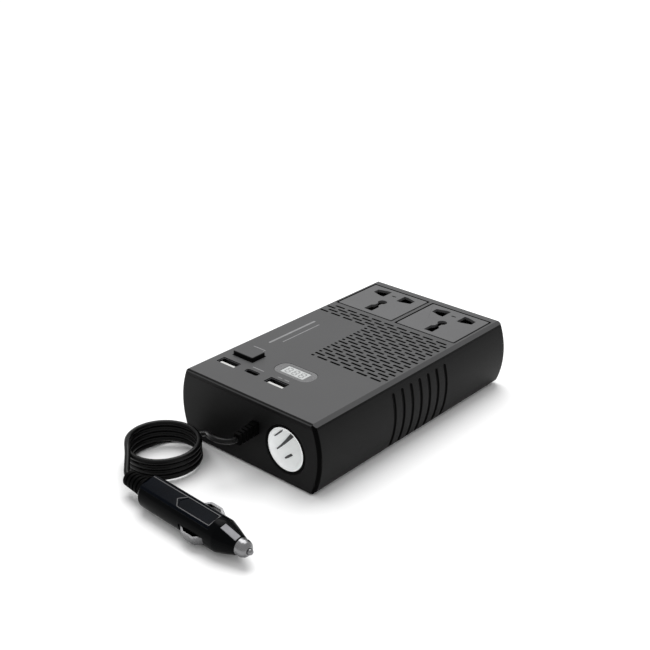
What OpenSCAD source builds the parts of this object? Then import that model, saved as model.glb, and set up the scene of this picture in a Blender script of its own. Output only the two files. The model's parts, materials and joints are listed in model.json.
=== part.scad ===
// Compact car power inverter with a vehicle plug on a coiled lead.
// Frame: origin under the middle of the case, +X right, +Y to the outlets, +Z up.

/* [Case] */
// Overall length of the case, front to back
body_l = 172.4; // [165:0.2:180]
// Width of the flat top
top_w = 95; // [92:0.5:100]
// Height of the closed case, feet included
body_h = 42.5; // [41:0.5:46]
// How far each side wall bulges past the top's edge
side_bow = 4.6; // [2:0.1:5]
// How far the rear wall bulges past the top's edge
rear_bow = 2.1; // [1:0.1:3]
// Case wall thickness
wall_t = 2.4; // [2:0.1:3]
// Thickness of the cover's top
cover_t = 2.9; // [2.5:0.1:3.5]

/* [Vents] */
// Distance between rows of top slots
vent_pitch_y = 3.38; // [3:0.01:4]
// Distance between slots in one row
vent_pitch_x = 9.65; // [9:0.05:11]
// Length of one top slot
vent_len = 7.2; // [5:0.1:7.5]
// Width of one top slot
vent_w = 1.45; // [1:0.05:1.8]
// Number of grooves on each side wall
groove_count = 7; // [3:1:7]
// Width of one side groove
groove_w = 2.3; // [1.5:0.1:3]

/* [Outlets] */
// Width of one outlet plate
plate_w = 41.8; // [40:0.1:42]
// Length of one outlet plate
plate_l = 37.2; // [36:0.1:38]
// Bore radius of the lighter outlet
lighter_r = 10.5; // [10.4:0.05:10.8]
// Depth of the lighter outlet
lighter_depth = 40; // [36:1:44]

/* [Moving parts] */
// Travel of the power button
button_travel = 1.8; // [1:0.1:2]
// Gap around the power button
button_gap = 0.35; // [0.3:0.05:0.5]
// Travel of the plug's centre pin
tip_travel = 1.5; // [1:0.1:1.6]
// Inward travel of the plug's side contacts
contact_travel = 1.6; // [1:0.1:1.8]

/* [Lead and plug] */
// Diameter of the lead
cord_d = 3.2; // [3:0.1:3.4]
// Diameter of the plug's body
plug_d = 17.4; // [17:0.1:18]
// Turn of the plug to the lead's side, seen from above
plug_yaw = -2.2; // [-5:0.1:5]
// Roll of the plug about its own axis
plug_roll = 12; // [0:1:20]

/* [Hidden] */
$fn = 96;
eps = 0.02;
foot_h = 0.8;
case_bottom = foot_h;
split_z = body_h - cover_t;
mid_z = (case_bottom + body_h) / 2;
half_h = (body_h - case_bottom) / 2;
half_l = body_l / 2;
half_top = top_w / 2;
bow_r = (half_h * half_h + side_bow * side_bow) / (2 * side_bow);
bow_x = half_top + side_bow - bow_r;
rear_r = (half_h * half_h + rear_bow * rear_bow) / (2 * rear_bow);
floor_z = case_bottom + wall_t;
front_y = -half_l;
// rounding of the case: upright front edges, upright rear edges, top rim, rear bottom edge
edge_front = 2.4;
edge_rear = 3.6;
edge_top = 1.6;
edge_heel = 6.5;
rim_cut = 1.1;

// top slots
vent_rows = 19;
vent_wide_rows = 4;
vent_y0 = 34.6;
vent_x0 = -46.2;
vent_left_wide = -45.2;
vent_left = -7.3;
vent_right = 45.2;

// side grooves
groove_pitch = 7.9;
groove_y0 = -23.8;
groove_top = 36.6;
groove_depth = 1.3;
slit_w = 1.1;

// outlets
plate_x = 23.1;
plate_y = 58.8;
plate_t = 1.9;
plate_gap = 1.1;
pin_y = 11.3;
us_earth = 11.9;
uk_earth = 22.2;
base_w = 34;
base_l = 35;
base_bottom = 20;

// front outlet and lead entry
lighter_x = 27.8;
lighter_z = 20.5;
sleeve_t = 0.8;
bezel_r = 14.2;
mouth_r = 11.8;
boot_x = 6.8;
boot_z = 26.2;
boot_w = 4.6;
boot_h = 7;
boot_tip_y = -100.6;
boot_droop = 1.4;
boot_taper = 0.6;

// controls
button_x = -32.6;
button_y = -51;
button_w = 15.4;
button_l = 10.4;
button_rise = 2.6;
port_y = -64.8;
port_a_x = [-34.9, 1.9];
port_c_x = -16.6;
port_a_w = 13.2;
port_a_l = 5.7;
port_c_w = 9.4;
port_c_l = 3.4;
board_z = 26.8;
board_t = 1.6;
shell_top = body_h - 0.4;
window_x = 1.4;
window_y = -48.9;
window_w = 27;
window_l = 12.6;
lens_w = 17;
lens_l = 8;

// inside
main_z = 8;
boss_x = 41.9;
boss_y = 78.6;
foot_x = 36;
foot_y = 66;
foot_r = 5;
fan_x = 19.5;
fan_y = 2;
fan_w = 40;
fan_t = 10;
fan_bore = 18.8;
blade_r = 18;

// plug
plug_r = plug_d / 2;
plug_at = [-10.3, -147, plug_r];
plug_body_l = 56.6;
nose_l = 12.4;
nose_r = 4.7;
ring_l = 5.8;
pin_out = 2;
pin_r = 1.6;
relief_l = 17;
contact_x0 = 33.5;
contact_l = 17;
contact_w = 5;
contact_out = 11;
flat_z = 7.6;
inlay_l = 52;
// turn of the side contacts past the level of the flat panel
contact_turn = 8;
light_l = 10.4;

// lead: the coil lies flat, its turns stacked five high at most
coil_x = -35.3;
coil_y = -115;
coil_r = 19.4;
coil_turns = 5;
coil_pitch = 3.3;
cord_sides = 8;
cord_r = cord_d / 2;

// the lead from the boot, over and down behind the coil, to its lowest turn
lead_pts = [
  [6.8, -100.6, 24.8], [6.8, -103.6, 25.2], [5.9, -106.6, 25.8], [3.8, -108.9, 26.4],
  [0.8, -109.9, 26.6], [-2.4, -109.6, 26.3], [-5.6, -108.2, 25.4], [-8.8, -106, 23.9],
  [-12.4, -103.3, 21.8], [-16.4, -100.4, 19.2], [-20.8, -97.5, 16.3], [-25.6, -94.8, 13.2],
  [-30.8, -92.6, 10.1], [-36.2, -91.6, 7.1], [-41.6, -92.3, 4.4], [-46.6, -94.9, 2.5],
  [-50.6, -98.6, 1.6]
];
// the lead from the top turn of the coil to the plug's relief
tail_pts = [
  [-46.4, -130.9, 15], [-43, -133.5, 14.6], [-39.6, -136.3, 13.7], [-36.4, -139.2, 12.5],
  [-33.4, -142, 11.1], [-30.6, -144.6, 9.7], [-27.3, -146.2, 8.7]
];

// ---- case outline ----

// half outline that is spun about a long axis to give one bowed side wall
module side_outline(r, yf, yr, cf, cr) {
  translate([0, yf]) square([r - cr, yr - yf]);
  translate([0, yf]) square([r - cf, cr]);
  translate([0, yf + cf]) square([r, yr - yf - cf - cr]);
  translate([r - cf, yf + cf]) circle(cf);
  translate([r - cr, yr - cr]) circle(cr);
}

module side_bound(side, t) {
  mirror([side > 0 ? 0 : 1, 0, 0]) {
    translate([bow_x, 0, mid_z])
      rotate([-90, 0, 0])
        rotate_extrude($fn = 256)
          side_outline(bow_r - t, front_y + t, half_l - t, max(edge_front - t, 0.3),
                       max(edge_rear - t, 0.3));
    // all that lies inward of the bow's centre
    translate([-100, front_y + t, -10]) cube([100 + bow_x, body_l - 2 * t, 80]);
  }
}

// outline of the case seen from the side: flat front, bowed rear, rounded heel
module end_outline(t) {
  zt = body_h - t;
  zb = case_bottom + t;
  yf = front_y + t;
  yr = half_l - t;
  top = max(edge_top - t, 0.3);
  heel = edge_heel - t;
  intersection() {
    translate([half_l - t - rear_r + t, mid_z]) circle(rear_r - t, $fn = 256);
    union() {
      translate([yf, zb]) square([yr - yf - heel, zt - zb - top]);
      translate([yf + top, zb]) square([yr - yf - heel - top, zt - zb]);
      translate([yf + top, zb + heel]) square([yr - yf - top, zt - zb - heel - top]);
      translate([yf + top, zb + heel]) square([yr - yf - 2 * top - rear_bow, zt - zb - heel]);
      translate([yf + top, zt - top]) circle(top);
      translate([yr - top - rear_bow, zt - top]) circle(top);
      translate([yr - heel, zb + heel]) circle(heel);
    }
  }
}

// cross outline that cuts the long top and bottom edges to a chamfer
module rim_outline(t) {
  zt = body_h - t;
  zb = case_bottom + t;
  far = half_top + 20;
  cut = half_top - t - rim_cut;
  polygon([
    [-far, zb + far - cut], [-cut, zb], [cut, zb], [far, zb + far - cut],
    [far, zt - far + cut], [cut, zt], [-cut, zt], [-far, zt - far + cut]
  ]);
}

module envelope(t) {
  intersection() {
    side_bound(1, t);
    side_bound(-1, t);
    rotate([90, 0, 90]) linear_extrude(height = 200, center = true) end_outline(t);
    rotate([90, 0, 0]) linear_extrude(height = 200, center = true) rim_outline(t);
  }
}

module slab(z0, z1) {
  translate([-100, -100, z0]) cube([200, 200, z1 - z0]);
}

module box_at(x, y, z0, w, l, h) {
  translate([x - w / 2, y - l / 2, z0]) cube([w, l, h]);
}

module rounded_box(x, y, z0, w, l, h, r) {
  translate([x, y, z0]) linear_extrude(height = h) rounded_rect(w, l, r);
}

module rounded_rect(w, l, r) {
  square([w - 2 * r, l], center = true);
  square([w, l - 2 * r], center = true);
  for (sx = [-1, 1], sy = [-1, 1])
    translate([sx * (w / 2 - r), sy * (l / 2 - r)]) circle(r, $fn = 32);
}

module corners(x, y) {
  for (sx = [-1, 1], sy = [-1, 1])
    translate([sx * x, sy * y, 0]) children();
}

// ---- side grooves ----
module side_grooves() {
  for (side = [-1, 1]) {
    difference() {
      for (i = [0 : groove_count - 1]) {
        y = groove_y0 + i * groove_pitch;
        box_at(side * 54, y, 0, 20, groove_w, groove_top - groove_w / 2);
        translate([side * 54, y, groove_top - groove_w / 2])
          rotate([0, 90, 0]) cylinder(h = 20, r = groove_w / 2, center = true, $fn = 24);
      }
      translate([side * bow_x, 0, mid_z])
        rotate([90, 0, 0]) cylinder(h = 120, r = bow_r - groove_depth, center = true, $fn = 256);
    }
    for (i = [0 : groove_count - 1])
      box_at(side * 50, groove_y0 + i * groove_pitch, 10, 12, slit_w, 20);
  }
}

// ---- case ----
module case_bosses() {
  corners(boss_x, boss_y) cylinder(h = 13, r = 3);
  // posts under the main board
  for (sx = [-1, 1], y = [-30, 74])
    translate([sx * 33, y, 0]) cylinder(h = main_z, r = 2.6);
  // posts under the charging board
  for (p = [[-41, -72], [-41, -40], [10, -74], [10, -40]])
    translate([p[0], p[1], 0]) cylinder(h = board_z - case_bottom, r = 2.2);
  // saddle that carries the lighter sleeve
  difference() {
    box_at(lighter_x, -62, 0, 16, 3, 14);
    translate([lighter_x, -62, lighter_z - case_bottom])
      rotate([90, 0, 0]) cylinder(h = 10, r = lighter_r + sleeve_t + 0.02, center = true);
  }
}

module lower_case() {
  color("#1d1e20") difference() {
    union() {
      difference() {
        intersection() {
          envelope(0);
          slab(-1, split_z);
        }
        difference() {
          intersection() {
            envelope(wall_t);
            slab(-1, split_z + 5);
          }
          slab(-1, floor_z);
        }
      }
      intersection() {
        envelope(1);
        slab(case_bottom, split_z);
        translate([0, 0, case_bottom]) case_bosses();
      }
    }
    side_grooves();
    // lighter outlet
    translate([lighter_x, front_y, lighter_z])
      rotate([90, 0, 0]) cylinder(h = 12, r = bezel_r, center = true);
    // square neck of the boot
    translate([boot_x, front_y, boot_z]) cube([3.8, 12, 5.8], center = true);
    // case screws
    corners(boss_x, boss_y) {
      translate([0, 0, -1]) cylinder(h = 4.2, r = 2.8);
      cylinder(h = 30, r = 1.6);
    }
    // seats of the feet
    corners(foot_x, foot_y) cylinder(h = foot_h + 0.7, r = foot_r);
  }
}

module vent_slot(a, b) {
  h = vent_w / 2;
  c = 0.35;
  polygon([
    [a, -h + c], [a + c, -h], [b - c, -h], [b, -h + c],
    [b, h - c], [b - c, h], [a + c, h], [a, h - c]
  ]);
}

module vent_pattern() {
  for (row = [0 : vent_rows - 1], i = [-1 : 10]) {
    left = row < vent_wide_rows ? vent_left_wide : vent_left;
    start = vent_x0 + i * vent_pitch_x + (row % 2 == 0 ? vent_pitch_x / 2 : 0);
    a = max(start, left);
    b = min(start + vent_len, vent_right);
    if (b - a > vent_w)
      translate([0, vent_y0 - row * vent_pitch_y]) vent_slot(a, b);
  }
}

module upper_cover() {
  color("#3a3b3d") difference() {
    union() {
      intersection() {
        envelope(0);
        slab(split_z, body_h + 1);
      }
      // lip that drops inside the lower case
      difference() {
        intersection() {
          envelope(wall_t + 0.1);
          slab(split_z - 3, split_z + 0.5);
        }
        // its inside, carried up past the rounded top of the outline
        for (lift = [0, cover_t]) translate([0, 0, lift]) intersection() {
          envelope(wall_t + 1.5);
          slab(split_z - 4 - lift, split_z - lift);
        }
        translate([lighter_x, front_y, lighter_z])
          rotate([90, 0, 0]) cylinder(h = 20, r = 15, center = true);
      }
      // screw bosses
      corners(boss_x, boss_y) translate([0, 0, 14]) cylinder(h = split_z - 13.5, r = 2.5);
      // snap posts that hold the fan
      for (side = [-1, 1])
        translate([fan_x, fan_y, 0]) {
          box_at(side * (fan_w / 2 + 1.3), 0, split_z - fan_t - 2, 2, 10, fan_t + 2.5);
          box_at(side * (fan_w / 2 - 0.2), 0, split_z - fan_t - 2, 3, 10, 1.7);
        }
    }
    // seats and openings of the outlet plates
    for (side = [-1, 1]) {
      rounded_box(side * plate_x, plate_y, body_h - plate_t, plate_w + 2 * plate_gap,
                  plate_l + 2 * plate_gap, 5, 0.8);
      box_at(side * plate_x, plate_y, split_z - 5, base_w + 0.4, base_l + 0.4, 10);
    }
    translate([0, 0, split_z - 0.01]) linear_extrude(height = 15) vent_pattern();
    // ports
    for (x = port_a_x)
      rounded_box(x, port_y, split_z - 5, port_a_w + 0.4, port_a_l + 0.4, 12, 0.5);
    rounded_box(port_c_x, port_y, split_z - 5, port_c_w + 0.4, port_c_l + 0.4, 12, 1.7);
    // display window and the light well under it
    rounded_box(window_x, window_y, body_h - 0.9, window_w + 0.2, window_l + 0.2, 5, 5.5);
    box_at(window_x, window_y, split_z - 5, lens_w + 1, lens_l + 1, 12);
    // power button
    box_at(button_x, button_y, split_z - 5, button_w + 2 * button_gap,
           button_l + 2 * button_gap, 12);
    // screw pilot holes
    corners(boss_x, boss_y) translate([0, 0, 10]) cylinder(h = 22, r = 1.25);
  }
}

// ---- mains outlets ----

// opening for a flat or round live pin; the flat inner edge faces the middle
module pin_opening(side) {
  mirror([side > 0 ? 0 : 1, 0])
    polygon([[5.2, -4.4], [8, -4.4], [14.6, -2.4], [14.6, 2.4], [8, 4.4], [5.2, 4.4]]);
}

module earth_opening() {
  translate([0, -us_earth]) circle(2.9, $fn = 32);
  translate([0, -us_earth - 4]) square([2.6, 6], center = true);
  translate([0, -uk_earth])
    polygon([[-1.6, 4.4], [-3, 2.8], [-3, -4.2], [3, -4.2], [3, 2.8], [1.6, 4.4]]);
}

module outlet_plate(side) {
  color("#4a4c4f") translate([side * plate_x, plate_y, body_h - plate_t]) difference() {
    linear_extrude(height = plate_t) difference() {
      rounded_rect(plate_w, plate_l, 0.6);
      translate([0, pin_y]) {
        pin_opening(1);
        pin_opening(-1);
        earth_opening();
      }
    }
    // shallow key mark between the live pins
    translate([0, pin_y, plate_t - 0.6]) linear_extrude(height = 2) rounded_rect(3.2, 1.3, 0.6);
  }
}

module outlet_base(side) {
  top = body_h - plate_t;
  color("#222326") translate([side * plate_x, plate_y, 0]) difference() {
    box_at(0, 0, base_bottom, base_w, base_l, top - base_bottom);
    for (s = [-1, 1])
      box_at(s * 9.9, pin_y, base_bottom + 2.5, 10.4, 10.4, 30);
    box_at(0, pin_y - 17.6, base_bottom + 2.5, 9, 19.2, 30);
  }
}

// folded spring clip that grips one pin
module clip(w, gap, h) {
  t = 0.6;
  for (s = [-1, 1]) box_at(0, s * (gap / 2 + t / 2), 0, w, t, h);
  box_at(0, 0, 0, w, gap + 2 * t, t);
}

module outlet_contacts(side) {
  color("#c9a24a") translate([side * plate_x, plate_y + pin_y, base_bottom + 2.5]) {
    for (s = [-1, 1]) translate([s * 9.9, 0, 0]) clip(9, 7.6, 13);
    translate([0, -17.6, 0]) rotate([0, 0, 90]) clip(17, 6.8, 13);
  }
}

// ---- controls ----
module power_button() {
  top = body_h + button_rise;
  color("#2b2c2e") difference() {
    union() {
      box_at(button_x, button_y, split_z - 0.6, button_w, button_l, top - split_z + 0.6);
      box_at(button_x, button_y, split_z - 2, button_w + 1.6, button_l + 1.6, 1.4);
    }
    translate([button_x, button_y, split_z - 3]) cylinder(h = 3.4, r = 3.4);
  }
}

module switch_body() {
  w = button_w + 5;
  l = button_l + 5;
  base_z = board_z + board_t;
  color("#1c1c1d") difference() {
    box_at(button_x, button_y, base_z, w, l, split_z - base_z - 0.02);
    box_at(button_x, button_y, base_z + 2.4, w - 2.6, l - 2.6, 20);
  }
}

// square-section wire wound on a vertical axis
function spring_ring(a, z, r, s) = [for (p = [[-s, -s], [s, -s], [s, s], [-s, s]])
  [(r + p[0]) * cos(a), (r + p[0]) * sin(a), z + p[1]]];

module button_spring() {
  turns = 4;
  steps = 14;
  wire = 0.25;
  z0 = board_z + board_t + 2.4 + wire + 0.05;
  z1 = split_z + 0.4 - wire - 0.05;
  n = turns * steps;
  rings = [for (i = [0 : n]) spring_ring(i * 360 / steps, z0 + (z1 - z0) * i / n, 2.7, wire)];
  color("#b8babd") translate([button_x, button_y, 0]) swept(rings, 4);
}

// closed tube through a list of rings that hold the same number of points
module swept(rings, sides) {
  n = len(rings);
  points = [for (r = rings) for (p = r) p];
  walls = [for (i = [0 : n - 2], j = [0 : sides - 1])
    [i * sides + j, i * sides + (j + 1) % sides, (i + 1) * sides + (j + 1) % sides,
     (i + 1) * sides + j]];
  first = [for (j = [sides - 1 : -1 : 0]) j];
  last = [for (j = [0 : sides - 1]) (n - 1) * sides + j];
  polyhedron(points, concat([first], walls, [last]));
}

module usb_a_shell(x) {
  z0 = board_z + board_t;
  color("#b9bcc0") difference() {
    box_at(x, port_y, z0, port_a_w, port_a_l, shell_top - z0);
    box_at(x, port_y, z0 + 0.6, port_a_w - 0.8, port_a_l - 0.8, 30);
  }
}

module usb_a_tongue(x) {
  z0 = board_z + board_t + 0.6;
  color("#e9e9e6") {
    box_at(x, port_y, z0, port_a_w - 0.8, port_a_l - 0.8, 2.4);
    box_at(x, port_y - 1, z0 + 2.4, port_a_w - 2.2, 1.9, shell_top - z0 - 3);
  }
}

module usb_c_shell() {
  z0 = board_z + board_t;
  color("#b9bcc0") difference() {
    rounded_box(port_c_x, port_y, z0, port_c_w, port_c_l, shell_top - z0, 1.6);
    rounded_box(port_c_x, port_y, z0 + 0.6, port_c_w - 0.7, port_c_l - 0.7, 30, 1.25);
  }
}

module usb_c_tongue() {
  z0 = board_z + board_t + 0.6;
  color("#2a2a2c") {
    box_at(port_c_x, port_y, z0, port_c_w - 3.4, port_c_l - 0.8, 3);
    box_at(port_c_x, port_y, z0 + 3, port_c_w - 3.6, 0.7, shell_top - z0 - 4);
  }
}

module charge_board() {
  color("#1f5a36") box_at(-15.5, -56.5, board_z, 56.5, 37, board_t);
}

module display_window() {
  color("#8d9196") rounded_box(window_x, window_y, body_h - 0.9, window_w, window_l, 0.8, 5.4);
}

module display_module() {
  z0 = board_z + board_t;
  color("#e8ecef") difference() {
    box_at(window_x, window_y, z0, lens_w, lens_l, body_h - 0.95 - z0);
    for (i = [-1 : 1])
      box_at(window_x + i * 5.2, window_y, body_h - 1.25, 3.4, 5.6, 2);
  }
}

// ---- lighter outlet ----
module at_front_outlet() {
  translate([lighter_x, front_y, lighter_z]) rotate([-90, 0, 0]) children();
}

module lighter_bezel() {
  color("#121213") at_front_outlet() difference() {
    union() {
      cylinder(h = wall_t + 0.6, r = bezel_r - 0.1);
      translate([0, 0, wall_t]) cylinder(h = 1.6, r = bezel_r + 0.4);
    }
    translate([0, 0, -1]) cylinder(h = 8, r = mouth_r + sleeve_t);
  }
}

module lighter_sleeve() {
  color("#d5d7da") at_front_outlet() rotate_extrude() polygon([
    [mouth_r, 0.3], [mouth_r + sleeve_t - 0.1, 0.3], [lighter_r + sleeve_t, 4],
    [lighter_r + sleeve_t, lighter_depth], [8, lighter_depth], [8, lighter_depth - sleeve_t],
    [lighter_r, lighter_depth - sleeve_t], [lighter_r, 3.4]
  ]);
}

module lighter_insulator() {
  color("#e4e0d4") at_front_outlet()
    translate([0, 0, lighter_depth]) difference() {
      cylinder(h = 2.5, r = 10);
      translate([0, 0, -1]) cylinder(h = 5, r = 2.1);
    }
}

module lighter_contact() {
  color("#c9a24a") at_front_outlet() {
    translate([0, 0, lighter_depth - 0.6]) cylinder(h = 6.6, r = 2);
    translate([0, 0, lighter_depth - 0.6]) cylinder(h = 0.58, r = 3.6);
    translate([0, 0, lighter_depth + 2.5]) cylinder(h = 1.4, r = 4);
  }
}

// ---- boot and lead ----
module boot_block(y, z, w, l, h) {
  translate([boot_x - w / 2, y, z - h / 2]) cube([w, l, h]);
}

module cord_boot() {
  ribs = 4;
  rib_depth = 0.5;
  tip_w = boot_w - boot_taper;
  tip_h = boot_h - boot_taper;
  slope = boot_droop / (front_y - boot_tip_y);
  color("#0f0f10") {
    difference() {
      hull() {
        boot_block(front_y - 0.1, boot_z, boot_w, 0.1, boot_h);
        boot_block(boot_tip_y, boot_z - boot_droop, tip_w, 0.1, tip_h);
      }
      for (i = [0 : ribs - 1]) {
        out = 4.6 + i * 2.6;
        z = boot_z - out * slope;
        difference() {
          boot_block(front_y - out, z, 20, 0.8, 20);
          boot_block(front_y - out - 1, z, tip_w - 2 * rib_depth, 3, tip_h - 2 * rib_depth);
        }
      }
    }
    boot_block(front_y - 1, boot_z, 3.6, wall_t + 2, 5.6);
    boot_block(front_y + wall_t, boot_z, 6.4, 2, 8.4);
  }
}

// unit direction of the route at point i
function route_dir(pts, i) =
  let (a = pts[max(i - 1, 0)], b = pts[min(i + 1, len(pts) - 1)], d = b - a) d / norm(d);

// ring of points around the route at point i
function cord_ring(pts, i, d) =
  let (side = cross([0, 0, 1], d), s = side / norm(side), u = cross(d, s))
  [for (k = [0 : cord_sides - 1])
    let (a = 360 * (k + 0.5) / cord_sides) pts[i] + cord_r * (cos(a) * s + sin(a) * u)];

module cord_tube(pts, first_dir, last_dir) {
  n = len(pts);
  rings = [for (i = [0 : n - 1])
    cord_ring(pts, i, i == 0 ? first_dir : i == n - 1 ? last_dir : route_dir(pts, i))];
  color("#141415") swept(rings, cord_sides);
}

module cord_lead() {
  cord_tube(lead_pts, [0, -1, 0], [-0.73, -0.68, 0]);
}

module cord_coil() {
  color("#161617") translate([coil_x, coil_y, 0]) rotate_extrude() {
    for (i = [0 : coil_turns - 1])
      translate([coil_r, cord_r + i * coil_pitch]) circle(cord_r, $fn = 32);
    translate([coil_r - 1, cord_r]) square([2, (coil_turns - 1) * coil_pitch]);
  }
}

module cord_tail() {
  cord_tube(tail_pts, [0.82, -0.57, 0], [cos(plug_yaw), sin(plug_yaw), 0]);
}

// ---- plug ----

// plug pieces are drawn along +X from the tail, flat panel up
module at_plug() {
  translate(plug_at) rotate([0, 0, plug_yaw]) rotate([plug_roll, 0, 0]) children();
}

// turned shape about the plug's axis, outline given as [along, radius]
module turned(outline) {
  rotate([0, 90, 0]) rotate([0, 0, 90]) rotate_extrude()
    polygon([for (p = outline) [p[1], p[0]]]);
}

module along(x0, x1, r) {
  translate([x0, 0, 0]) rotate([0, 90, 0]) cylinder(h = x1 - x0, r = r);
}

module plug_relief() {
  ribs = 4;
  color("#0f0f10") at_plug() difference() {
    turned([[-relief_l, 0], [-relief_l, 3.4], [-relief_l + 0.7, 4.1], [-2.5, 5.1], [0, 5.1],
            [0, 0]]);
    for (i = [0 : ribs - 1])
      translate([-relief_l + 3 + i * 3, 0, 0]) difference() {
        rotate([0, 90, 0]) cylinder(h = 1, r = 8);
        translate([-1, 0, 0]) rotate([0, 90, 0]) cylinder(h = 3, r = 3.3 + i * 0.25);
      }
  }
}

module plug_body() {
  end = plug_body_l + nose_l;
  color("#101114") at_plug() difference() {
    turned([
      [0, 0], [0, plug_r - 2.2], [0.6, plug_r - 1], [2, plug_r], [plug_body_l, plug_r],
      [plug_body_l + 5, plug_r - 1.5], [end, nose_r], [end, 0]
    ]);
    // flat seat of the inlay
    translate([1.4, -10, flat_z - 1]) cube([inlay_l, 20, 10]);
    // light window on the nose
    translate([plug_body_l + 1.5, 0, plug_r - 2.1]) rotate([0, 17, 0])
      translate([0, -1.9, 0]) cube([light_l, 3.8, 4]);
    // fuse chamber, open at the nose
    along(26, end + 1, 3.4);
    // seats of the side contacts
    for (s = [-1, 1])
      rotate([contact_turn, 0, 0])
        translate([contact_x0 - 0.4, s > 0 ? 5 : -10, -contact_w / 2 - 0.3])
          cube([contact_l + 0.8, 5, contact_w + 0.6]);
  }
}

// flat panel let into the top, with a raised arrow-shaped step
module plug_inlay() {
  half = 3.6;
  step_x = 27;
  color("#1b1d24") at_plug() difference() {
    intersection() {
      along(1.5, inlay_l + 1.3, plug_r - 0.12);
      translate([1, -10, flat_z - 1]) cube([inlay_l + 1, 20, 0.9]);
    }
    translate([0, 0, flat_z - 0.4]) linear_extrude(height = 1)
      polygon([[step_x, 0], [step_x + 2.6, -half], [inlay_l, -half], [inlay_l, half],
               [step_x + 2.6, half]]);
  }
}

module plug_window() {
  color("#c8ccd0") at_plug()
    translate([plug_body_l + 1.5, 0, plug_r - 2.1]) rotate([0, 17, 0])
      translate([0.1, -1.8, 0]) cube([light_l - 0.2, 3.6, 1.25]);
}

module plug_nose_ring() {
  x0 = plug_body_l + nose_l;
  color("#cfd1d4") at_plug() difference() {
    turned([
      [x0, 0], [x0, nose_r - 0.1], [x0 + 2.6, nose_r - 0.2], [x0 + 4.2, nose_r - 0.8],
      [x0 + ring_l - 0.6, nose_r - 1.7], [x0 + ring_l, nose_r - 2.5], [x0 + ring_l, 0]
    ]);
    along(x0 - 1, x0 + ring_l + 1, pin_r + 0.08);
  }
}

module plug_tip() {
  x0 = plug_body_l + nose_l;
  end = x0 + ring_l + pin_out;
  color("#dcdee0") at_plug() turned([
    [x0 - 1.8, 0], [x0 - 1.8, 2.8], [x0 - 0.3, 2.8], [x0 - 0.3, pin_r], [end - 1, pin_r],
    [end - 0.3, pin_r - 0.5], [end, 0.5], [end, 0]
  ]);
}

module plug_fuse() {
  x0 = 27;
  color("#d9dbd6") at_plug() {
    along(x0, x0 + 6, 3);
    along(x0 + 6, x0 + 26, 2.7);
    along(x0 + 26, x0 + 32, 3);
  }
}

// leaf that bows out of the plug's side
module plug_contact(s) {
  x0 = contact_x0;
  x1 = contact_x0 + contact_l;
  top = contact_out;
  color("#cfd1d4") at_plug() rotate([contact_turn, 0, 0]) mirror([0, s > 0 ? 0 : 1, 0])
    translate([0, 0, -contact_w / 2]) linear_extrude(height = contact_w) polygon([
      [x0, plug_r - 1.8], [x0 + 1, plug_r - 1.8], [x0 + 5, top - 1.4], [x1 - 5, top - 1.4],
      [x1 - 1, plug_r - 1.8], [x1, plug_r - 1.8], [x1, plug_r - 1], [x1 - 1, plug_r - 0.6],
      [x1 - 4.4, top - 0.2], [x1 - 6, top], [x0 + 6, top], [x0 + 4.4, top - 0.2],
      [x0 + 1, plug_r - 0.6], [x0, plug_r - 1]
    ]);
}

// ---- inside ----
module main_board() {
  color("#1f5a36") difference() {
    box_at(0, 22, main_z + case_bottom, 84, 116, board_t);
    for (s = [-1, 1]) box_at(s * boss_x, boss_y, 0, 13, 9, 20);
  }
}

module transformer_core() {
  z0 = main_z + case_bottom + board_t;
  color("#3c3e42") translate([-16.5, 6, z0]) difference() {
    box_at(0, 0, 0.5, 24, 18, 25);
    for (s = [-1, 1]) box_at(s * 6.4, 0, 5, 5.6, 30, 16);
  }
}

module transformer_winding() {
  z0 = main_z + case_bottom + board_t;
  color("#d8c25a") translate([-16.5, 6, z0]) difference() {
    rounded_box(0, 0, 5.2, 18.2, 27, 15.6, 3);
    box_at(0, 0, 4, 7.4, 18.2, 22);
  }
}

module capacitors() {
  z0 = main_z + case_bottom + board_t;
  color("#26324a") for (x = [-27, -12, 3])
    translate([x, -24, z0]) cylinder(h = 16, r = 5);
}

module heat_sink(x) {
  z0 = main_z + case_bottom + board_t;
  s = x > 0 ? 1 : -1;
  color("#a9adb1") {
    box_at(x - s * 3, 3, z0, 2.4, 48, 17);
    for (i = [0 : 5])
      box_at(x + s * 0.8, -18 + i * 8.4, z0 + 1, 5.2, 1.4, 15);
  }
}

module power_transistors() {
  z0 = main_z + case_bottom + board_t;
  color("#202123") for (s = [-1, 1], y = [-12, 3, 18])
    box_at(s * 31.5, y, z0, 4.6, 10, 15);
}

module output_choke() {
  z0 = main_z + case_bottom + board_t;
  color("#b06a32") translate([2, 30, z0]) rotate_extrude()
    translate([7, 5]) circle(4.2, $fn = 32);
}

module blade_fuse() {
  z0 = main_z + case_bottom + board_t;
  color("#c8762a") {
    box_at(18, -26, z0, 12, 6, 6);
    box_at(18, -26, z0 + 6, 17, 4, 6);
  }
}

module fan_frame() {
  z0 = split_z - fan_t;
  color("#1a1a1b") translate([fan_x, fan_y, z0]) {
    difference() {
      rounded_box(0, 0, 0, fan_w, fan_w, fan_t, 2);
      translate([0, 0, -1]) cylinder(h = fan_t + 2, r = fan_bore);
      corners(16, 16) translate([0, 0, -1]) cylinder(h = fan_t + 2, r = 1.7);
    }
    difference() {
      union() {
        cylinder(h = 1.6, r = 8.5);
        for (a = [45, 135]) rotate([0, 0, a]) box_at(0, 0, 0, 2 * fan_bore + 1, 2.4, 1.4);
      }
      translate([0, 0, 0.8]) cylinder(h = 3, r = 1.55);
    }
  }
}

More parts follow.
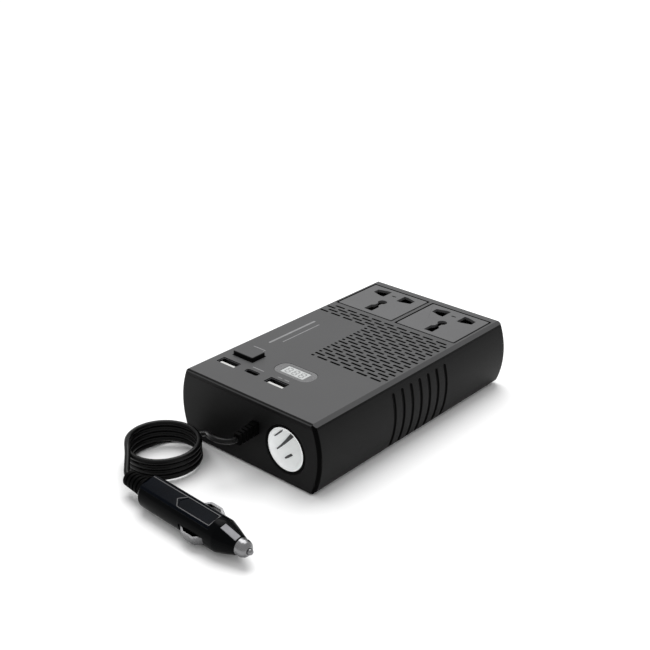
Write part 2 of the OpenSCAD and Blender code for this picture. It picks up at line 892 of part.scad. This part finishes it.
module fan_rotor() {
  z0 = split_z - fan_t;
  blades = 7;
  color("#2b2c2e") translate([fan_x, fan_y, z0]) {
    translate([0, 0, 2]) cylinder(h = 7.4, r = 8.5);
    translate([0, 0, 0.9]) cylinder(h = 2, r = 1.5);
    intersection() {
      union() {
        for (i = [0 : blades - 1])
          rotate([0, 0, i * 360 / blades]) translate([13, 0, 5.6]) rotate([40, 0, 0])
            cube([11.6, 9.4, 0.9], center = true);
      }
      translate([0, 0, 2]) cylinder(h = 7.4, r = blade_r);
    }
  }
}

module feet() {
  color("#0c0c0c") corners(foot_x, foot_y) cylinder(h = foot_h + 0.7, r = foot_r - 0.2);
}

module case_screws() {
  color("#8d9094") corners(boss_x, boss_y) difference() {
    union() {
      translate([0, 0, 1.2]) cylinder(h = 2, r = 2.6);
      translate([0, 0, 3]) cylinder(h = 20, r = 1.22);
    }
    translate([0, 0, 0]) box_at(0, 0, 1, 3.4, 0.7, 1.1);
    translate([0, 0, 0]) box_at(0, 0, 1, 0.7, 3.4, 1.1);
  }
}

lower_case();
upper_cover();
outlet_plate(-1);  // outlet_plate_left
outlet_plate(1);  // outlet_plate_right
outlet_base(-1);  // outlet_base_left
outlet_base(1);  // outlet_base_right
outlet_contacts(-1);  // outlet_contacts_left
outlet_contacts(1);  // outlet_contacts_right
power_button();
switch_body();
button_spring();
usb_a_shell(port_a_x[0]);  // usb_a_shell_left
usb_a_shell(port_a_x[1]);  // usb_a_shell_right
usb_a_tongue(port_a_x[0]);  // usb_a_tongue_left
usb_a_tongue(port_a_x[1]);  // usb_a_tongue_right
usb_c_shell();
usb_c_tongue();
charge_board();
display_window();
display_module();
lighter_bezel();
lighter_sleeve();
lighter_insulator();
lighter_contact();
cord_boot();
cord_lead();
cord_coil();
cord_tail();
plug_relief();
plug_body();
plug_inlay();
plug_window();
plug_nose_ring();
plug_tip();
plug_fuse();
plug_contact(-1);  // plug_contact_near
plug_contact(1);  // plug_contact_far
main_board();
transformer_core();
transformer_winding();
capacitors();
heat_sink(-38);  // heat_sink_left
heat_sink(38);  // heat_sink_right
power_transistors();
output_choke();
blade_fuse();
fan_frame();
fan_rotor();
feet();
case_screws();
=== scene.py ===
"""Looks of a car power inverter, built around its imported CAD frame. Blender 4.5, metres."""
import json
import math

import bmesh
import bpy
from mathutils import Matrix, Vector


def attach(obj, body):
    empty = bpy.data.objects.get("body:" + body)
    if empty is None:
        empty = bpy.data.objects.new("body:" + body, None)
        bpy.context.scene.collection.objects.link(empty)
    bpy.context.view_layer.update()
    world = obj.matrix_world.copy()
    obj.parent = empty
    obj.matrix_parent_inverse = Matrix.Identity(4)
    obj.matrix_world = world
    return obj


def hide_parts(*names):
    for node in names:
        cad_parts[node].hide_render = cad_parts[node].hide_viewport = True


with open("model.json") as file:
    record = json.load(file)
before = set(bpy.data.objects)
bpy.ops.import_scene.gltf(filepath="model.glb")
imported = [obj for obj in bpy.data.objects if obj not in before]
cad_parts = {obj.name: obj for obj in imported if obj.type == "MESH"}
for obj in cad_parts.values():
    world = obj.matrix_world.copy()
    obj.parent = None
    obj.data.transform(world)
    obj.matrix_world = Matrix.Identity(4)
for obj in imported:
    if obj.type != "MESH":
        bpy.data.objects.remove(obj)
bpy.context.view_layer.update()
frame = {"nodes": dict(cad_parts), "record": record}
nodes = frame["nodes"]
scene = bpy.context.scene
MM = 0.001

# Main levels and places of the CAD, in millimetres
TOP_Z = 42.5
SPLIT_Z = 39.6
FRONT_Y = -86.2
BUTTON = (-32.6, -51.0, 15.4, 10.4, 45.1)
WINDOW = (1.4, -48.9, 27.0, 12.6)
LENS = (17.0, 8.0)
PORT_Y = -64.8
PORTS_A = (-34.9, 1.9)
PORT_C = -16.6
PLUG_AT = (-10.3, -147.0, 8.7)
PLUG_YAW = -2.2
PLUG_ROLL = 12.0
SLEEVE_AT = (27.8, 20.5)
# Outer radius and thickness of the sleeve's springs, whose dark colour is painted reflection
TAB_R = 10.45
TAB_T = 0.3
# Width, top level and height of the painted highlight lines on the plug's panel
LINE_W = 0.45
LINE_Z = 7.53
LINE_H = 0.5

# ---------------------------------------------------------------- camera

CAMERA_PLACE = (0.3751, -0.4526, 0.3261)
CAMERA_AZIMUTH = 41.13
CAMERA_ELEVATION = 24.86
CAMERA_ROLL = 0.29
CAMERA_LENS = 62.196


def make_camera():
    a, e, roll = (math.radians(v) for v in (CAMERA_AZIMUTH, CAMERA_ELEVATION, CAMERA_ROLL))
    back = Vector((math.sin(a) * math.cos(e), -math.cos(a) * math.cos(e), math.sin(e)))
    right = (-back).cross(Vector((0, 0, 1))).normalized()
    up = right.cross(-back)
    c, s = math.cos(roll), math.sin(roll)
    across, above = c * right + s * up, c * up - s * right
    data = bpy.data.cameras.new("camera")
    data.lens = CAMERA_LENS
    data.sensor_width = 36
    camera = bpy.data.objects.new("camera", data)
    scene.collection.objects.link(camera)
    columns = Matrix((across, above, back)).transposed().to_4x4()
    camera.matrix_world = Matrix.Translation(CAMERA_PLACE) @ columns
    scene.camera = camera


make_camera()

# ---------------------------------------------------------------- materials


def tree(name):
    made = bpy.data.materials.new(name)
    made.use_nodes = True
    nt = made.node_tree
    nt.nodes.clear()
    out = nt.nodes.new("ShaderNodeOutputMaterial")
    shader = nt.nodes.new("ShaderNodeBsdfPrincipled")
    nt.links.new(shader.outputs[0], out.inputs["Surface"])
    return made, nt, shader


def noise(nt, coord, scale, detail=3.0, stretch=None):
    """Noise texture in the object's own metres; stretch squeezes it along chosen axes."""
    if stretch:
        mapping = nt.nodes.new("ShaderNodeMapping")
        mapping.inputs["Scale"].default_value = stretch
        nt.links.new(coord, mapping.inputs["Vector"])
        coord = mapping.outputs[0]
    tex = nt.nodes.new("ShaderNodeTexNoise")
    tex.inputs["Scale"].default_value = scale
    tex.inputs["Detail"].default_value = detail
    nt.links.new(coord, tex.inputs["Vector"])
    return tex.outputs["Fac"]


def ramp(nt, fac, low, high, start=0.3, end=0.7):
    made = nt.nodes.new("ShaderNodeValToRGB")
    made.color_ramp.elements[0].position = start
    made.color_ramp.elements[0].color = (*low, 1)
    made.color_ramp.elements[1].position = end
    made.color_ramp.elements[1].color = (*high, 1)
    nt.links.new(fac, made.inputs[0])
    return made.outputs[0]


def spread(nt, fac, low, high):
    made = nt.nodes.new("ShaderNodeMapRange")
    made.inputs["From Min"].default_value = 0.3
    made.inputs["From Max"].default_value = 0.7
    made.inputs["To Min"].default_value = low
    made.inputs["To Max"].default_value = high
    nt.links.new(fac, made.inputs["Value"])
    return made.outputs[0]


def surface(name, colour, rough, grain=0.25, relief=0.01, mottle=0.1, patch=14.0, metal=0.0,
            specular=0.5, coat=0.0, glow_and_painted_light=0.0, clear=0.0, stretch=None):
    """Moulded, rubber or metal finish. grain and patch are feature sizes and relief the depth of
    the grain, in millimetres; mottle is the share by which colour and roughness wander."""
    made, nt, shader = tree(name)
    coord = nt.nodes.new("ShaderNodeTexCoord").outputs["Object"]
    cloud = noise(nt, coord, 1000 / patch, 4.0)
    fine = noise(nt, coord, 1000 / grain, 2.0, stretch)
    low = [c * (1 - mottle) for c in colour]
    high = [min(c * (1 + mottle), 1) for c in colour]
    nt.links.new(ramp(nt, cloud, low, high), shader.inputs["Base Color"])
    nt.links.new(spread(nt, fine, max(rough - 0.07, 0.02), min(rough + 0.07, 1)),
                 shader.inputs["Roughness"])
    bump = nt.nodes.new("ShaderNodeBump")
    bump.inputs["Strength"].default_value = 0.5
    bump.inputs["Distance"].default_value = relief * MM
    nt.links.new(fine, bump.inputs["Height"])
    nt.links.new(bump.outputs[0], shader.inputs["Normal"])
    shader.inputs["Metallic"].default_value = metal
    shader.inputs["Specular IOR Level"].default_value = specular
    shader.inputs["Coat Weight"].default_value = coat
    shader.inputs["Coat Roughness"].default_value = 0.08
    shader.inputs["Transmission Weight"].default_value = clear
    # emission: the lit display's own light, and painted light on the lighter sleeve
    if glow_and_painted_light:
        nt.links.new(ramp(nt, cloud, low, high), shader.inputs["Emission Color"])
        shader.inputs["Emission Strength"].default_value = glow_and_painted_light
    return made


def grey(v):
    return (v, v, v * 1.02)


M = {
    "case_black": surface("case_black", grey(0.0042), 0.5, 0.3, 0.02, 0.08, specular=0.11),
    "cover_grey": surface("cover_grey", grey(0.062), 0.5, 0.25, 0.012, 0.03, 40, specular=0.18),
    "plate_grey": surface("plate_grey", grey(0.092), 0.45, 0.25, 0.01, 0.04, 30, specular=0.2),
    "base_black": surface("base_black", grey(0.003), 0.6, 0.4, 0.02, specular=0.05),
    "contact_brass": surface("contact_brass", (0.45, 0.3, 0.12), 0.35, 0.5, 0.004, 0.1, metal=1),
    "button_dark": surface("button_dark", grey(0.002), 0.5, 0.3, 0.01, specular=0.05),
    "spring_steel": surface("spring_steel", (0.5, 0.5, 0.52), 0.3, 0.3, 0.004, metal=1),
    "port_steel": surface("port_steel", (0.06, 0.06, 0.065), 0.35, 0.3, 0.004, 0.1, metal=1,
                          stretch=(1, 1, 8)),
    "tongue_white": surface("tongue_white", (0.5, 0.5, 0.49), 0.45, 0.3, 0.006, 0.04),
    "board_green": surface("board_green", (0.015, 0.11, 0.04), 0.35, 0.8, 0.01, 0.15, coat=0.3),
    "window_smoke": surface("window_smoke", grey(0.12), 0.3, 1.2, 0.002, 0.08, 6, specular=0.3),
    "display_white": surface("display_white", (0.36, 0.37, 0.37), 0.5, 0.3, 0.004, 0.05, 4,
                             glow_and_painted_light=0.15),
    "bezel_black": surface("bezel_black", grey(0.0015), 0.5, 0.3, 0.008, specular=0.03),
    # painted light: the sleeve glows though it is no lamp, for its bright reflections
    "sleeve_chrome": surface("sleeve_chrome", (0.93, 0.94, 0.94), 0.45, 0.6, 0.002, 0.03, 8,
                             metal=0.4, glow_and_painted_light=0.1, stretch=(1, 6, 1)),
    "insulator_cream": surface("insulator_cream", (0.7, 0.67, 0.56), 0.5, 0.4, 0.01, 0.06),
    "cord_black": surface("cord_black", grey(0.002), 0.3, 0.5, 0.012, 0.15, 10, specular=0.13),
    "plug_gloss": surface("plug_gloss", (0.001, 0.0012, 0.0015), 0.16, 1.5, 0.002, 0.1, 12,
                          specular=0.03),
    "inlay_dark": surface("inlay_dark", (0.0018, 0.0026, 0.0045), 0.25, 0.6, 0.003, 0.2, 6,
                          specular=0.02),
    "window_clear": surface("window_clear", (0.2, 0.2, 0.215), 0.35, 0.5, 0.004, 0.12, 3,
                            specular=0.3),
    "nickel": surface("nickel", (0.2, 0.2, 0.205), 0.28, 0.4, 0.003, 0.12, 3, metal=1),
    "fuse_glass": surface("fuse_glass", (0.75, 0.78, 0.76), 0.08, 1.0, 0.001, 0.03, clear=0.8),
    "ferrite": surface("ferrite", grey(0.04), 0.6, 0.3, 0.03, 0.2),
    "winding_tape": surface("winding_tape", (0.7, 0.55, 0.12), 0.3, 1.0, 0.01, 0.1,
                            stretch=(1, 1, 12)),
    "capacitor_sleeve": surface("capacitor_sleeve", (0.02, 0.035, 0.1), 0.25, 1.0, 0.004, 0.1),
    "sink_aluminium": surface("sink_aluminium", (0.55, 0.56, 0.57), 0.35, 0.3, 0.006, 0.08,
                              metal=1, stretch=(1, 1, 10)),
    "choke_copper": surface("choke_copper", (0.5, 0.18, 0.06), 0.3, 1.0, 0.08, 0.15, metal=1,
                            stretch=(1, 1, 4)),
    "fuse_amber": surface("fuse_amber", (0.7, 0.28, 0.03), 0.2, 0.8, 0.003, 0.1, clear=0.3),
    "rotor_black": surface("rotor_black", grey(0.006), 0.45, 0.3, 0.01, specular=0.12),
    "foot_rubber": surface("foot_rubber", grey(0.006), 0.7, 0.35, 0.03, 0.15, specular=0.1),
    "screw_steel": surface("screw_steel", (0.35, 0.35, 0.36), 0.3, 0.3, 0.004, 0.1, metal=1),
}
RIM_BLACK = surface("rim_black", grey(0.003), 0.45, 0.3, 0.012, 0.08, specular=0.08)
# painted highlight along the cover's front rim
RIM_HIGHLIGHT = surface("rim_painted_highlight", grey(0.03), 0.35, 0.3, 0.006, 0.08, specular=0.25)
# painted shade for the front's upright corners
CORNER_PAINTED_SHADE = surface("corner_painted_shade", grey(0.001), 0.5, 0.3, 0.01, 0.08, specular=0.02)
BOOT_BLACK = surface("boot_black", grey(0.0012), 0.55, 0.4, 0.02, 0.1, specular=0.02)
# painted reflection: dark colour of the sleeve's springs
TAB_PAINTED_REFLECTION = surface("tab_painted_reflection", grey(0.09), 0.4, 0.5, 0.003, 0.2, 3, metal=0.6)
# painted highlight for the plug panel's bevel
LINE_HIGHLIGHT = surface("line_painted_highlight", grey(0.05), 0.3, 0.4, 0.003, 0.1, 3, specular=0.25)
PRINT_GREY = surface("print_grey", grey(0.2), 0.55, 0.3, 0.004, 0.12, 3, specular=0.2)
DIGIT_GREY = surface("digit_grey", grey(0.14), 0.5, 0.3, 0.003, 0.1, 2)

# ---------------------------------------------------------------- making pieces


def piece(name, mesh, slot, body="housing", material=None):
    o = bpy.data.objects.new(name, mesh)
    scene.collection.objects.link(o)
    o.data.materials.append(material or M[slot])
    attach(o, body)
    return o


def prism(outlines, z0, z1):
    """Closed solids in one mesh: each outline, in mm, is drawn upward from z0 to z1."""
    bm = bmesh.new()
    for outline in outlines:
        low = [bm.verts.new((x * MM, y * MM, z0 * MM)) for x, y in outline]
        high = [bm.verts.new((x * MM, y * MM, z1 * MM)) for x, y in outline]
        bm.faces.new(high)
        bm.faces.new(low[::-1])
        for i in range(len(outline)):
            j = (i + 1) % len(outline)
            bm.faces.new((low[i], low[j], high[j], high[i]))
    mesh = bpy.data.meshes.new("solid")
    bm.to_mesh(mesh)
    bm.free()
    return mesh


def rounded(x, y, w, l, r, steps=6):
    """Outline of a rectangle with round corners about x, y."""
    out = []
    for cx, cy, start in ((1, 1, 0), (-1, 1, 90), (-1, -1, 180), (1, -1, 270)):
        for i in range(steps + 1):
            a = math.radians(start + 90 * i / steps)
            out.append((x + cx * (w / 2 - r) + r * math.cos(a),
                        y + cy * (l / 2 - r) + r * math.sin(a)))
    return out


def frame_plate(name, outer, inner, z0, z1, slot):
    """Plate with one opening; both outlines hold the same number of points."""
    bm = bmesh.new()
    rings = [[bm.verts.new((x * MM, y * MM, z * MM)) for x, y in line]
             for line, z in ((outer, z0), (outer, z1), (inner, z1), (inner, z0))]
    n = len(outer)
    for k in range(4):
        a, b = rings[k], rings[(k + 1) % 4]
        for i in range(n):
            j = (i + 1) % n
            bm.faces.new((a[i], a[j], b[j], b[i]))
    mesh = bpy.data.meshes.new(name)
    bm.to_mesh(mesh)
    bm.free()
    return piece(name, mesh, slot)


def soften(o, width, angle=32, segments=2):
    """Rounds the piece's sharp edges."""
    smooth(o)
    bevel = o.modifiers.new("edges", "BEVEL")
    bevel.limit_method = "ANGLE"
    bevel.angle_limit = math.radians(angle)
    bevel.width = width * MM
    bevel.segments = segments
    bevel.use_clamp_overlap = True
    bevel.harden_normals = True
    return o


def smooth(o):
    o.data.polygons.foreach_set("use_smooth", [True] * len(o.data.polygons))


def dress(name, edge=0.0, angle=32):
    """Gives a CAD node its slot's material, and clean shading or rounded edges."""
    o = nodes[name]
    slot = SLOTS[name]
    o.data.materials.clear()
    o.data.materials.append(M[slot])
    custom = o.data.attributes.get("custom_normal")
    if custom:
        o.data.attributes.remove(custom)
    smooth(o)
    weld = o.modifiers.new("weld", "WELD")
    weld.merge_threshold = 1e-6
    if not edge:
        split = o.modifiers.new("edges", "EDGE_SPLIT")
        split.split_angle = math.radians(angle)
        return o
    flat = o.modifiers.new("flat", "DECIMATE")
    flat.decimate_type = "DISSOLVE"
    flat.angle_limit = math.radians(0.3)
    flat.delimit = {"MATERIAL"}
    soften(o, edge, angle)
    o.modifiers["edges"].use_clamp_overlap = False
    normals = o.modifiers.new("normals", "WEIGHTED_NORMAL")
    normals.keep_sharp = False
    return o


SLOTS = {row["node"]: row["material_slot"] for row in frame["record"]["subparts"]}

# ---------------------------------------------------------------- lead

CORD_D = 3.2
LEAD = [
    (6.8, -100.6, 24.8), (6.8, -103.6, 25.2), (5.9, -106.6, 25.8), (3.8, -108.9, 26.4),
    (0.8, -109.9, 26.6), (-2.4, -109.6, 26.3), (-5.6, -108.2, 25.4), (-8.8, -106, 23.9),
    (-12.4, -103.3, 21.8), (-16.4, -100.4, 19.2), (-20.8, -97.5, 16.3), (-25.6, -94.8, 13.2),
    (-30.8, -92.6, 10.1), (-36.2, -91.6, 7.1), (-41.6, -92.3, 4.4), (-46.6, -94.9, 2.5),
    (-50.6, -98.6, 1.6),
]
TAIL = [
    (-46.4, -130.9, 15), (-43, -133.5, 14.6), (-39.6, -136.3, 13.7), (-36.4, -139.2, 12.5),
    (-33.4, -142, 11.1), (-30.6, -144.6, 9.7), (-27.3, -146.2, 8.7),
]
COIL_AT = (-35.3, -115.0)
COIL_R = 19.4
COIL_START = 170.0
COIL_END = 235.0 + 4 * 360
COIL_STEP = 20.0
# how far inward the lower turns lie on the far side
COIL_SLACK = 1.6


def coil_point(angle, radius, z):
    a = math.radians(angle)
    return (COIL_AT[0] + radius * math.cos(a), COIL_AT[1] + radius * math.sin(a), z)


def cord_route():
    low, high = LEAD[-1][2], TAIL[0][2]
    line = LEAD + [coil_point(145, 21.2, low), coil_point(158, 20.0, low)]
    steps = round((COIL_END - COIL_START) / COIL_STEP)
    for i in range(steps):
        share = i / steps
        angle = COIL_START + (COIL_END - COIL_START) * share
        # a hand-wound coil is never quite round
        wander = 0.3 * math.sin(math.radians(angle * 0.83 + 40))
        wander -= COIL_SLACK * (1 - share) * max(0, math.cos(math.radians(angle - 160)))
        wander *= min(share * 6, 1)
        line.append(coil_point(angle, COIL_R + wander, low + (high - low) * share))
    return line + TAIL


def make_cord():
    route = cord_route()
    data = bpy.data.curves.new("cord", "CURVE")
    data.dimensions = "3D"
    data.resolution_u = 4
    data.bevel_depth = CORD_D / 2 * MM
    data.bevel_resolution = 4
    data.use_fill_caps = True
    line = data.splines.new("BEZIER")
    line.bezier_points.add(len(route) - 1)
    for point, place in zip(line.bezier_points, route):
        point.co = Vector(place) * MM
        point.handle_left_type = point.handle_right_type = "AUTO"
    line.use_smooth = True
    cord = bpy.data.objects.new("cord", data)
    scene.collection.objects.link(cord)
    data.materials.append(M["cord_black"])
    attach(cord, "housing")
    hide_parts("cord_lead", "cord_coil", "cord_tail")


make_cord()

# ---------------------------------------------------------------- CAD nodes

EDGES = {
    "lower_case": 0.3, "upper_cover": 0.15, "outlet_plate_left": 0.15, "outlet_plate_right": 0.15,
    "usb_a_shell_left": 0.08, "usb_a_shell_right": 0.08, "usb_a_tongue_left": 0.1,
    "usb_a_tongue_right": 0.1, "usb_c_tongue": 0.06, "lighter_bezel": 0.2, "cord_boot": 0.25,
    "plug_relief": 0.15, "plug_body": 0.15, "plug_inlay": 0.12, "plug_window": 0.2,
    "plug_nose_ring": 0.12, "plug_tip": 0.12, "plug_contact_near": 0.12,
    "plug_contact_far": 0.12, "feet": 0.2, "case_screws": 0.08, "fan_frame": 0.2,
    "fan_rotor": 0.15, "heat_sink_left": 0.12, "heat_sink_right": 0.12,
    "power_transistors": 0.2, "blade_fuse": 0.2, "capacitors": 0.5, "transformer_core": 0.3,
}
# only the case's square edges are rounded: its grooves run out at slanting ones
EDGE_ANGLE = {"lower_case": 60}
for node_name in nodes:
    dress(node_name, EDGES.get(node_name, 0.0), EDGE_ANGLE.get(node_name, 32))


# Where the front corners with painted shade, the grey side chamfers and the painted highlight line
# on the rim begin
CORNER_DEPTH = 2.4
CHAMFER_X = 45.0
CHAMFER_Z = 40.5
RIM_HIGHLIGHT_Z = 40.9


def is_front_corner(face):
    """True on the rounded upright edges at the two ends of the front."""
    outward = abs(face.normal.x) if face.center.x * face.normal.x > 0 else 0
    return face.center.y < (FRONT_Y + CORNER_DEPTH) * MM and outward > 0.2 and face.normal.y < -0.2


def paint_cover():
    """Grey on the flat top and the long side chamfers that face up, partly the cover's two-tone
    plastic and partly painted light for the brighter-lit top;
    a thin painted highlight along the front rim, painted shade on the front corners, and black on
    the rest."""
    mesh = nodes["upper_cover"].data
    for material in (RIM_BLACK, RIM_HIGHLIGHT, CORNER_PAINTED_SHADE):
        mesh.materials.append(material)
    flat = (TOP_Z - 0.05) * MM
    for face in mesh.polygons:
        c, n = face.center, face.normal
        on_top = c.z > flat and n.z > 0.99
        on_side = abs(c.x) > CHAMFER_X * MM and n.z > 0.6 and c.z > CHAMFER_Z * MM
        # painted light in part: faces turned upward are grey, the sides black
        if on_top or (on_side and abs(n.y) < 0.2):
            face.material_index = 0
        # painted shade on the front corners
        elif is_front_corner(face):
            face.material_index = 3
        # painted highlight: a thin lighter line on the front rim's rounding
        elif c.z > RIM_HIGHLIGHT_Z * MM and 0.2 < n.z < 0.7 and n.y < -0.6:
            face.material_index = 2
        else:
            face.material_index = 1


def paint_case():
    """Painted shade: nearly black upright corners beside the front."""
    mesh = nodes["lower_case"].data
    mesh.materials.append(CORNER_PAINTED_SHADE)
    for face in mesh.polygons:
        face.material_index = 1 if is_front_corner(face) else 0


def repaint(name, material):
    """Another finish of the same slot's plastic."""
    nodes[name].data.materials[0] = material


paint_cover()
paint_case()
repaint("cord_boot", BOOT_BLACK)
repaint("plug_relief", BOOT_BLACK)

# ---------------------------------------------------------------- controls on top


def make_button():
    """Black key with a grey cap let into its top; the grey top over black sides is partly two-tone
    plastic and partly painted light.
    """
    x, y, w, l, top = BUTTON
    stem = prism([rounded(x, y, w, l, 0.8)], SPLIT_Z - 0.6, top - 0.25)
    soften(piece("button_key", stem, "button_dark", "button"), 0.3)
    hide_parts("power_button")
    flange = prism([rounded(x, y, w + 1.6, l + 1.6, 0.8)], SPLIT_Z - 2, SPLIT_Z - 0.6)
    soften(piece("button_flange", flange, "button_dark", "button"), 0.2)
    # painted light in part: the key's top is grey, its sides black
    cap = prism([rounded(x, y, w - 0.9, l - 0.9, 0.6)], top - 0.3, top)
    soften(piece("button_cap", cap, "button_dark", "button", M["cover_grey"]), 0.15)


def make_display():
    """Smoky oblong surround with the lit panel and its three digits."""
    x, y, w, l = WINDOW
    outer = rounded(x, y, w, l, 5.4)
    inner = rounded(x, y, LENS[0], LENS[1], 0.6)
    surround = frame_plate("display_surround", outer, inner, TOP_Z - 0.9, TOP_Z - 0.1,
                           "window_smoke")
    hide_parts("display_window")
    soften(surround, 0.1)
    panel = prism([rounded(x, y, LENS[0] - 0.1, LENS[1] - 0.1, 0.55)], TOP_Z - 1.2, TOP_Z - 0.35)
    soften(piece("display_panel", panel, "display_white"), 0.08)
    bars = []
    for i in (-1, 0, 1):
        cx = x + i * 5.0
        for dy in (-2.5, 0, 2.5):
            bars.append(rounded(cx, y + dy, 2.2, 0.55, 0.2, 2))
        for dx in (-1.4, 1.4):
            for dy in (-1.25, 1.25):
                bars.append(rounded(cx + dx, y + dy, 0.55, 1.9, 0.2, 2))
    piece("display_digits", prism(bars, TOP_Z - 0.36, TOP_Z - 0.32), "display_white",
          material=DIGIT_GREY)


def make_marks():
    """Plain printed bars that stand for the symbols, with no lettering."""
    z0, z1 = TOP_Z - 0.01, TOP_Z + 0.02
    marks = [
        # behind the button
        rounded(-34.5, -40.6, 9.5, 0.7, 0.3, 3), rounded(-29.8, -42.2, 0.7, 0.7, 0.3, 3),
        # beside the small port
        rounded(-16.6, -59.9, 8.5, 0.7, 0.3, 3),
        # behind the right port
        rounded(-0.6, -59.4, 3.4, 0.6, 0.25, 3), rounded(4.4, -59.4, 3.4, 0.6, 0.25, 3),
        # two plain lines along the top
        rounded(-35.6, -11.5, 1.5, 40, 0.5, 3), rounded(-30.4, -9.5, 0.7, 32, 0.3, 3),
    ]
    piece("top_marks", prism(marks, z0, z1), "cover_grey", material=PRINT_GREY)


def make_port_contacts():
    """Spring contacts on the tongues of the wide ports."""
    pads = []
    for x in PORTS_A:
        for i in (-1.5, -0.5, 0.5, 1.5):
            pads.append(rounded(x + i * 2.4, PORT_Y - 0.02, 1.1, 0.2, 0.08, 2))
    piece("port_contacts", prism(pads, TOP_Z - 7, TOP_Z - 1.4), "contact_brass")
    pins = [rounded(PORT_C + (i - 2.5) * 0.8, PORT_Y + 0.4, 0.4, 0.12, 0.05, 2) for i in range(6)]
    piece("small_port_contacts", prism(pins, TOP_Z - 6, TOP_Z - 1.6), "contact_brass")


def sleeve_point(angle, depth, radius):
    a = math.radians(angle)
    return ((SLEEVE_AT[0] + radius * math.cos(a)) * MM, (FRONT_Y + depth) * MM,
            (SLEEVE_AT[1] + radius * math.sin(a)) * MM)


def make_sleeve_tabs():
    """Thin curved springs on the inner wall of the lighter sleeve; their dark colour is painted
    reflection, for the dark streaks in the chrome.
    """
    # each row: depth in the sleeve, first and last angle
    tabs = (
        ((3.6, 205, 209), (7, 202, 208), (11, 196, 206), (15, 188, 203), (18, 183, 200)),
        ((2.4, 158, 161), (4, 154, 162), (6, 151, 161), (8, 150, 159)),
        ((5, 241, 246), (7, 240, 248), (10, 241, 249)),
    )
    bm = bmesh.new()
    for rows in tabs:
        grid = []
        for depth, first, last in rows:
            for radius in (TAB_R, TAB_R - TAB_T):
                angles = [first + (last - first) * i / 4 for i in range(5)]
                grid.append([bm.verts.new(sleeve_point(a, depth, radius)) for a in angles])
        outer, inner = grid[0::2], grid[1::2]
        for k in range(len(rows) - 1):
            for i in range(4):
                bm.faces.new((outer[k][i], outer[k][i + 1], outer[k + 1][i + 1], outer[k + 1][i]))
                bm.faces.new((inner[k][i], inner[k + 1][i], inner[k + 1][i + 1], inner[k][i + 1]))
            for i in (0, 4):
                bm.faces.new((outer[k][i], outer[k + 1][i], inner[k + 1][i], inner[k][i]))
        for k in (0, -1):
            for i in range(4):
                bm.faces.new((outer[k][i], inner[k][i], inner[k][i + 1], outer[k][i + 1]))
    bmesh.ops.recalc_face_normals(bm, faces=bm.faces)
    mesh = bpy.data.meshes.new("sleeve_tabs")
    bm.to_mesh(mesh)
    bm.free()
    # painted reflection: the springs are dark against the bright chrome
    smooth(piece("sleeve_tabs", mesh, "sleeve_chrome", material=TAB_PAINTED_REFLECTION))


def make_plug_lines():
    """Painted highlight: light lines round the nose half of the plug's panel and along its far
    edge, where its bevel catches the light.
    """
    mesh = bpy.data.meshes.new("plug_lines")
    bm = bmesh.new()
    across, tip, shoulder, end = 3.9, 25.0, 29.0, 52.5
    lines = [
        [(2, across), (end, across)], [(tip, 0), (shoulder, across)],
        [(tip, 0), (shoulder, -across)], [(shoulder, -across), (end, -across)],
        [(end, -across), (end, across)],
    ]
    for line in lines:
        (x0, y0), (x1, y1) = line
        length = math.hypot(x1 - x0, y1 - y0)
        ox, oy = (y1 - y0) / length * LINE_W / 2, -(x1 - x0) / length * LINE_W / 2
        base = [(x0 - ox, y0 - oy), (x0 + ox, y0 + oy), (x1 + ox, y1 + oy), (x1 - ox, y1 - oy)]
        low = [bm.verts.new((x * MM, y * MM, (LINE_Z - LINE_H) * MM)) for x, y in base]
        high = [bm.verts.new((x * MM, y * MM, LINE_Z * MM)) for x, y in base]
        bm.faces.new(high)
        bm.faces.new(low[::-1])
        for i in range(4):
            bm.faces.new((low[i], low[(i + 1) % 4], high[(i + 1) % 4], high[i]))
    bmesh.ops.recalc_face_normals(bm, faces=bm.faces)
    turn = Matrix.Rotation(math.radians(PLUG_YAW), 4, "Z") @ Matrix.Rotation(
        math.radians(PLUG_ROLL), 4, "X")
    bm.transform(Matrix.Translation([v * MM for v in PLUG_AT]) @ turn)
    bm.to_mesh(mesh)
    bm.free()
    # painted highlight along the panel's bevel
    piece("plug_lines", mesh, "inlay_dark", material=LINE_HIGHLIGHT)


make_button()
make_display()
make_marks()
make_port_contacts()
make_sleeve_tabs()
make_plug_lines()

# ---------------------------------------------------------------- floor and light


def make_stage():
    half = 8.0
    mesh = bpy.data.meshes.new("floor")
    mesh.from_pydata([(-half, -half, 0), (half, -half, 0), (half, half, 0), (-half, half, 0)],
                     [], [(0, 1, 2, 3)])
    floor = bpy.data.objects.new("floor", mesh)
    scene.collection.objects.link(floor)
    mesh.materials.append(surface("floor_pale", (0.93, 0.93, 0.93), 0.8, 2.0, 0.01, 0.005, 300,
                                  specular=0.1))


def area(name, place, target, size, power):
    data = bpy.data.lights.new(name, "AREA")
    data.shape = "DISK"
    data.size = size
    data.energy = power
    o = bpy.data.objects.new(name, data)
    scene.collection.objects.link(o)
    o.location = place
    o.rotation_euler = (Vector(target) - Vector(place)).to_track_quat("-Z", "Y").to_euler()


def make_light():
    world = bpy.data.worlds.new("studio")
    scene.world = world
    world.use_nodes = True
    sky = world.node_tree.nodes["Background"]
    sky.inputs["Color"].default_value = (1, 1, 1, 1)
    sky.inputs["Strength"].default_value = 0.75
    area("key", (-0.5, 0.5, 1.6), (0, 0, 0), 1.6, 28)
    scene.view_settings.view_transform = "Standard"


make_stage()
make_light()
